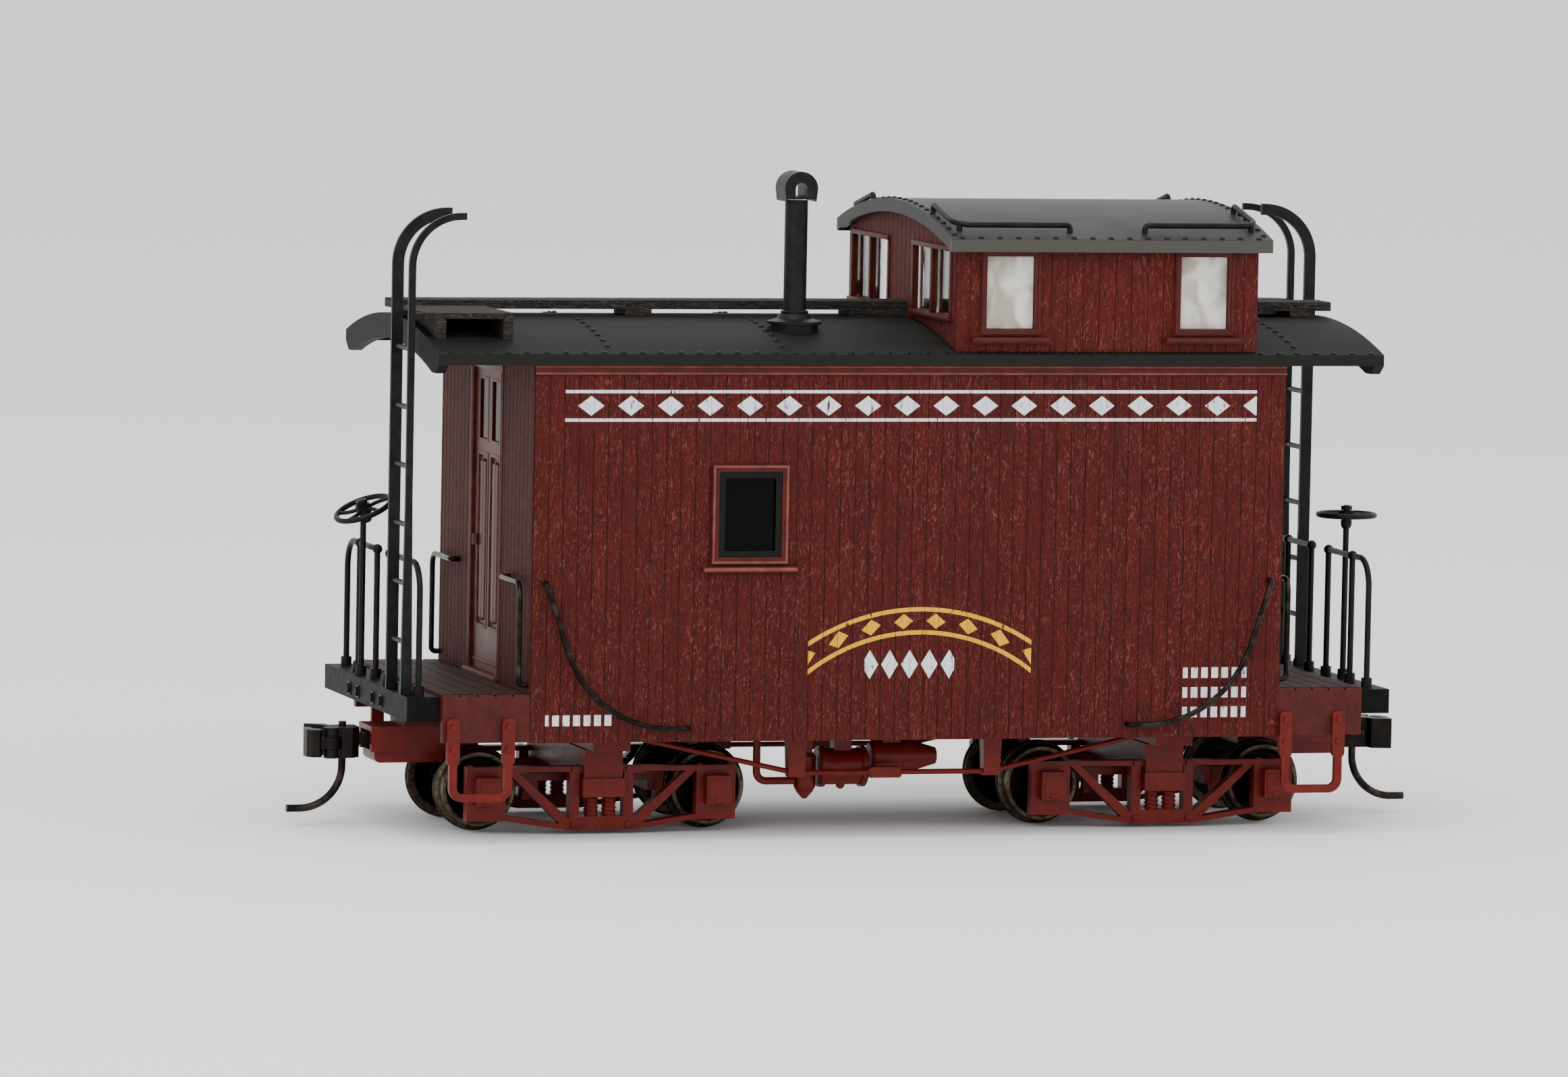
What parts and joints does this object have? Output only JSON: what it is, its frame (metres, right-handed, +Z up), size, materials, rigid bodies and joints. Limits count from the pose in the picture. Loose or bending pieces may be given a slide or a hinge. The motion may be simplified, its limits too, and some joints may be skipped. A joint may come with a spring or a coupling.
{
  "type": "model caboose",
  "caption": "Model railway caboose with board-sided body, arched roof, glazed cupola, end platforms with ladders and railings, archbar trucks, knuckle couplers and brake wheels.",
  "frame": {"origin": "midway along and across the car, level with the bottom of the wheel flanges", "axes": "+X along the car towards the cupola end, +Z up, +Y across the car"},
  "size_m": [0.1548, 0.0532, 0.0868],
  "materials": {
    "oxide_red": "moulded boards in dull red-brown paint",
    "black_ironwork": "matt grimy black paint",
    "blackened_wire": "blackened steel, satin",
    "wheel_metal": "turned and chemically blackened bronze tone",
    "coupler_black": "dull brown-black cast metal",
    "clear_glazing": "clear moulded glazing"
  },
  "bodies": {
    "car": {"body_shell": "oxide_red", "side_window_sashes": "black_ironwork", "end_doors": "oxide_red", "window_glazing": "clear_glazing", "floor_pan": "oxide_red", "ballast_weight": "blackened_wire", "main_roof": "black_ironwork", "cupola_roof": "black_ironwork", "cupola_walls": "oxide_red", "cupola_glazing": "clear_glazing", "cupola_grab_irons": "black_ironwork", "running_boards": "black_ironwork", "ladder_landings": "black_ironwork", "smokejack_pipe": "black_ironwork", "smokejack_collar": "black_ironwork", "smokejack_hood": "black_ironwork", "right_platform": "oxide_red", "left_platform": "oxide_red", "end_sills": "black_ironwork", "right_ladder": "black_ironwork", "left_ladder": "black_ironwork", "right_railing": "black_ironwork", "left_railing": "black_ironwork", "brake_staffs": "black_ironwork", "side_handrails": "blackened_wire", "end_handrails": "blackened_wire", "step_stirrups": "oxide_red", "centre_sill": "oxide_red", "body_bolsters": "oxide_red", "kingpin_screws": "blackened_wire", "truss_rods": "oxide_red", "queen_posts": "oxide_red", "turnbuckles": "oxide_red", "brake_cylinder": "oxide_red", "air_reservoir": "oxide_red", "triple_valve": "oxide_red", "air_pipe": "oxide_red", "right_draft_box": "oxide_red", "left_draft_box": "oxide_red", "draft_box_covers": "oxide_red", "cover_screws": "blackened_wire"},
    "left_truck": {"left_truck_frame": "oxide_red"},
    "left_inner_wheelset": {"left_inner_axle": "wheel_metal", "left_inner_wheels": "wheel_metal"},
    "left_outer_wheelset": {"left_outer_axle": "wheel_metal", "left_outer_wheels": "wheel_metal"},
    "left_coupler": {"left_coupler_head": "coupler_black", "left_trip_pin": "blackened_wire"},
    "left_knuckle_body": {"left_knuckle": "coupler_black"},
    "left_brake_wheel_body": {"left_brake_wheel": "black_ironwork"},
    "right_truck": {"right_truck_frame": "oxide_red"},
    "right_inner_wheelset": {"right_inner_axle": "wheel_metal", "right_inner_wheels": "wheel_metal"},
    "right_outer_wheelset": {"right_outer_axle": "wheel_metal", "right_outer_wheels": "wheel_metal"},
    "right_coupler": {"right_coupler_head": "coupler_black", "right_trip_pin": "blackened_wire"},
    "right_knuckle_body": {"right_knuckle": "coupler_black"},
    "right_brake_wheel_body": {"right_brake_wheel": "black_ironwork"}
  },
  "joints": [
    {"name": "left_truck_swivel", "type": "hinge", "parent": "car", "child": "left_truck", "pos_m": [-0.0385, 0, 0.0093], "axis": [0, 0, 1], "range_deg": [-8, 8]},
    {"name": "left_inner_axle_spin", "type": "hinge", "parent": "left_truck", "child": "left_inner_wheelset", "pos_m": [-0.023, 0, 0.0056], "axis": [0, 1, 0], "continuous": true},
    {"name": "left_outer_axle_spin", "type": "hinge", "parent": "left_truck", "child": "left_outer_wheelset", "pos_m": [-0.054, 0, 0.0056], "axis": [0, 1, 0], "continuous": true},
    {"name": "left_coupler_swing", "type": "hinge", "parent": "car", "child": "left_coupler", "pos_m": [-0.0605, 0, 0.0114], "axis": [0, 0, 1], "range_deg": [-8, 8], "stiffness_Nm_per_rad": 0.0004},
    {"name": "left_knuckle_open", "type": "hinge", "parent": "left_coupler", "child": "left_knuckle_body", "pos_m": [-0.072, -0.0022, 0.0113], "axis": [0, 0, 1], "range_deg": [0, 20], "stiffness_Nm_per_rad": 0.0002},
    {"name": "right_truck_swivel", "type": "hinge", "parent": "car", "child": "right_truck", "pos_m": [0.0385, 0, 0.0093], "axis": [0, 0, 1], "range_deg": [-8, 8]},
    {"name": "right_inner_axle_spin", "type": "hinge", "parent": "right_truck", "child": "right_inner_wheelset", "pos_m": [0.023, 0, 0.0056], "axis": [0, 1, 0], "continuous": true},
    {"name": "right_outer_axle_spin", "type": "hinge", "parent": "right_truck", "child": "right_outer_wheelset", "pos_m": [0.054, 0, 0.0056], "axis": [0, 1, 0], "continuous": true},
    {"name": "right_coupler_swing", "type": "hinge", "parent": "car", "child": "right_coupler", "pos_m": [0.0605, 0, 0.0114], "axis": [0, 0, 1], "range_deg": [-8, 8], "stiffness_Nm_per_rad": 0.0004},
    {"name": "right_knuckle_open", "type": "hinge", "parent": "right_coupler", "child": "right_knuckle_body", "pos_m": [0.072, 0.0022, 0.0113], "axis": [0, 0, 1], "range_deg": [0, 20], "stiffness_Nm_per_rad": 0.0002},
    {"name": "right_brake_wheel_turn", "type": "hinge", "parent": "car", "child": "right_brake_wheel_body", "pos_m": [0.0658, -0.0075, 0.041], "axis": [0, 0, 1], "continuous": true},
    {"name": "left_brake_wheel_turn", "type": "hinge", "parent": "car", "child": "left_brake_wheel_body", "pos_m": [-0.0658, 0.0075, 0.041], "axis": [-0.3746, -0.161, 0.9131], "continuous": true}
  ]
}
